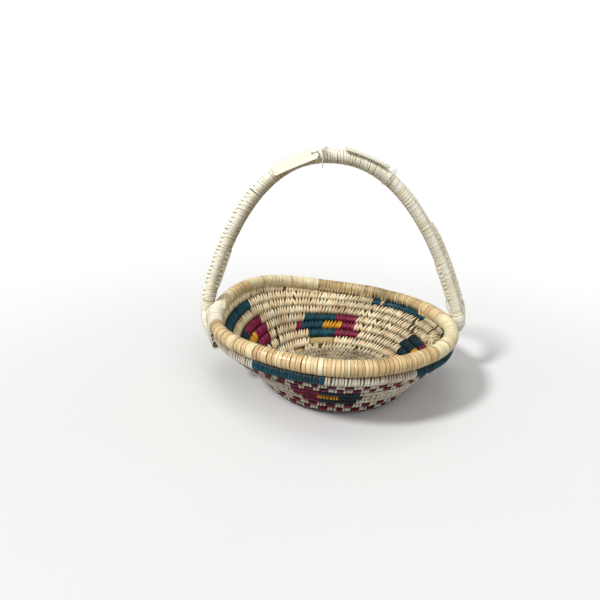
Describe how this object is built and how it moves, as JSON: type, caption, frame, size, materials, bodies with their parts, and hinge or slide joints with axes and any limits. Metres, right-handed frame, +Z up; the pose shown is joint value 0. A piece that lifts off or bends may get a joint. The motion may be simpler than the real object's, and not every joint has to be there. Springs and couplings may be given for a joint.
{
  "type": "coiled handled basket",
  "caption": "Round coiled palm-leaf basket with a sloping wall, a thick wrapped rim, an arched wrapped handle lashed outside the rim, and blank swing tags tied to the handle.",
  "frame": {"origin": "middle of the base's flat underside, on the table", "axes": "+Z up out of the mouth, +X to the right along the handle's span, -Y the front seen in the picture"},
  "size_m": [0.3259, 0.2888, 0.2718],
  "materials": {
    "coil": "dry palm leaf stitches over a bundle, matt",
    "golden_wrap": "flat palm strips, soft sheen",
    "pale_wrap": "pale palm strips, soft sheen",
    "bundle": "dry grass bundle, matt",
    "card": "plain paper card, matt",
    "string": "thin cotton string"
  },
  "bodies": {
    "basket": {"base_start_knot": "coil", "base_coil": "coil", "wall_coil": "coil", "rim_core": "bundle", "rim_wrap_front": "golden_wrap", "rim_wrap_back": "golden_wrap", "rim_binding_left": "pale_wrap", "rim_binding_right": "pale_wrap", "handle_core": "bundle", "handle_wrap": "pale_wrap", "handle_lacing_outer_left": "pale_wrap", "handle_lacing_outer_right": "pale_wrap", "handle_lacing_inner_left": "pale_wrap", "handle_lacing_inner_right": "pale_wrap", "lashing_left_1": "pale_wrap", "lashing_left_2": "pale_wrap", "lashing_right_1": "pale_wrap", "lashing_right_2": "pale_wrap", "tag_left_string": "string", "tag_right_string": "string"},
    "left_tag": {"tag_left": "card", "tag_left_loop": "string"},
    "right_tag": {"tag_right": "card", "tag_right_loop": "string"}
  },
  "joints": [
    {"name": "tag_left_swing", "type": "hinge", "parent": "basket", "child": "left_tag", "pos_m": [-0.02646, 0.01306, 0.26683], "axis": [0, 1, 0], "range_deg": [0, 90]},
    {"name": "tag_right_swing", "type": "hinge", "parent": "basket", "child": "right_tag", "pos_m": [0.0519, 0.02537, 0.24768], "axis": [0, 1, 0], "range_deg": [0, 90]}
  ]
}
